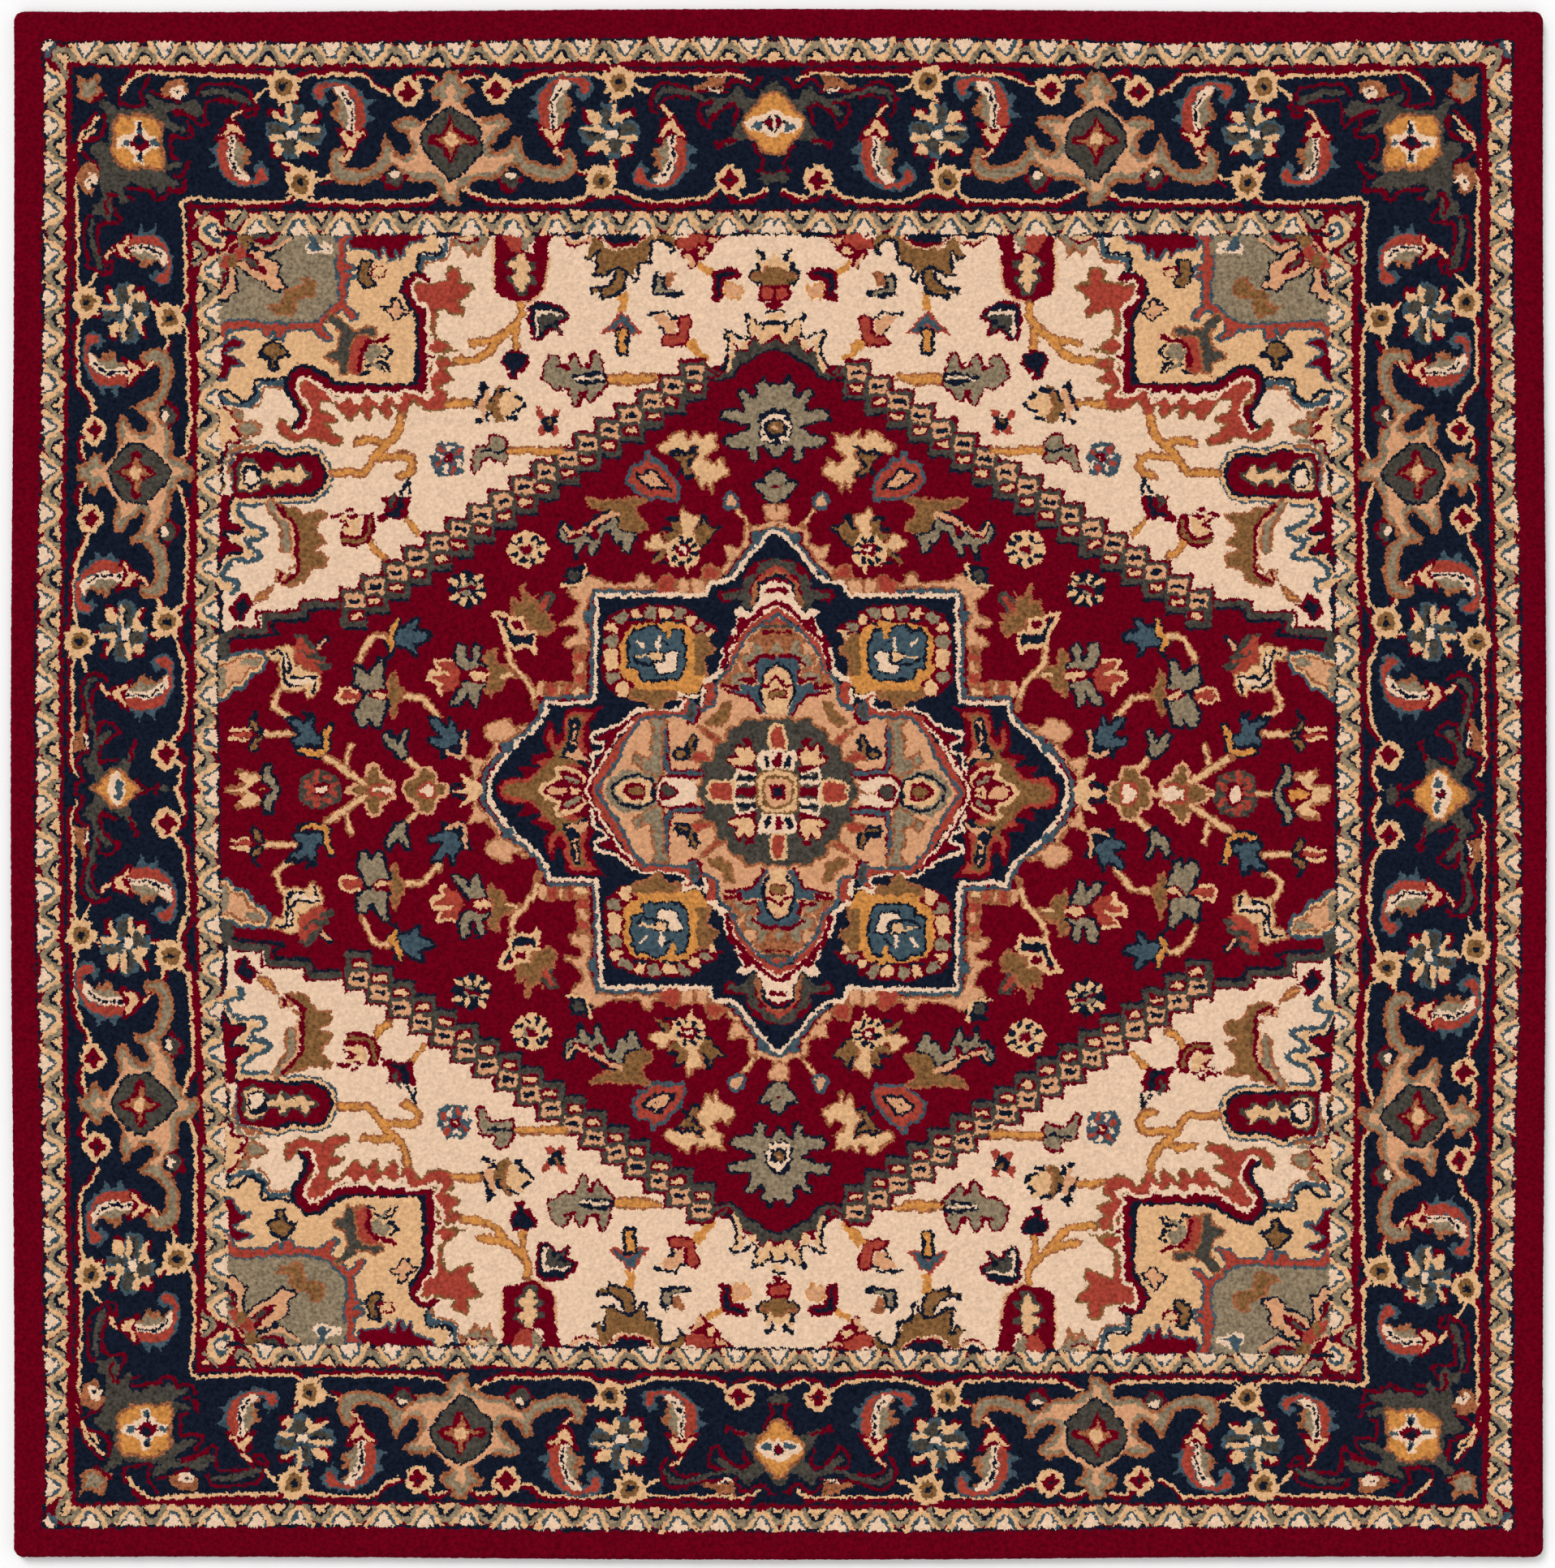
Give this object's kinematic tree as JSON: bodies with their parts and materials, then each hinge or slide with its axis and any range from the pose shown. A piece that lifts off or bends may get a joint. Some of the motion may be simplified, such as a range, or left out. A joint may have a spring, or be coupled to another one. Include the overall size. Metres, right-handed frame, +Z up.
{
  "type": "area rug",
  "caption": "Square hand-tufted wool rug with a mirrored geometric medallion design, lying flat, with tufting cloth, latex, canvas and edge tape.",
  "frame": {"origin": "middle of the underside, in the plane of the floor that the rug lies on", "axes": "+Z up out of the pile, +Y along the rug's slightly longer side, +X across it"},
  "size_m": [1.8216, 1.8378, 0.0155],
  "materials": {
    "edge_wool": "crimson cut wool pile, matt",
    "guard_wool": "cream, sage and crimson cut wool pile, matt",
    "border_wool": "navy cut wool pile with coloured figures, matt",
    "spandrel_wool": "ivory cut wool pile with coloured figures, matt",
    "field_wool": "crimson cut wool pile with coloured figures, matt",
    "medallion_wool": "navy cut wool pile with coloured figures, matt",
    "cartouche_wool": "peach and slate cut wool pile, matt",
    "canvas": "undyed plain-weave cotton canvas",
    "edge_tape": "undyed herringbone cotton tape",
    "tufting_cloth": "undyed open-weave polyester and cotton cloth",
    "latex": "cured latex adhesive, matt"
  },
  "bodies": {
    "root": {"backing_canvas": "canvas", "tufting_cloth": "tufting_cloth", "latex_coat": "latex", "edge_tape_north": "edge_tape", "edge_tape_west": "edge_tape", "edge_tape_south": "edge_tape", "edge_tape_east": "edge_tape", "pile_edge_band_north": "edge_wool", "pile_edge_band_west": "edge_wool", "pile_edge_band_south": "edge_wool", "pile_edge_band_east": "edge_wool", "pile_outer_guard_north": "guard_wool", "pile_outer_guard_west": "guard_wool", "pile_outer_guard_south": "guard_wool", "pile_outer_guard_east": "guard_wool", "pile_main_border_north": "border_wool", "pile_main_border_west": "border_wool", "pile_main_border_south": "border_wool", "pile_main_border_east": "border_wool", "pile_inner_guard_north": "guard_wool", "pile_inner_guard_west": "guard_wool", "pile_inner_guard_south": "guard_wool", "pile_inner_guard_east": "guard_wool", "pile_spandrel_ne": "spandrel_wool", "pile_spandrel_nw": "spandrel_wool", "pile_spandrel_sw": "spandrel_wool", "pile_spandrel_se": "spandrel_wool", "pile_field_ne": "field_wool", "pile_field_nw": "field_wool", "pile_field_sw": "field_wool", "pile_field_se": "field_wool", "pile_medallion_ne": "medallion_wool", "pile_medallion_nw": "medallion_wool", "pile_medallion_sw": "medallion_wool", "pile_medallion_se": "medallion_wool", "pile_cartouche": "cartouche_wool"}
  },
  "joints": []
}
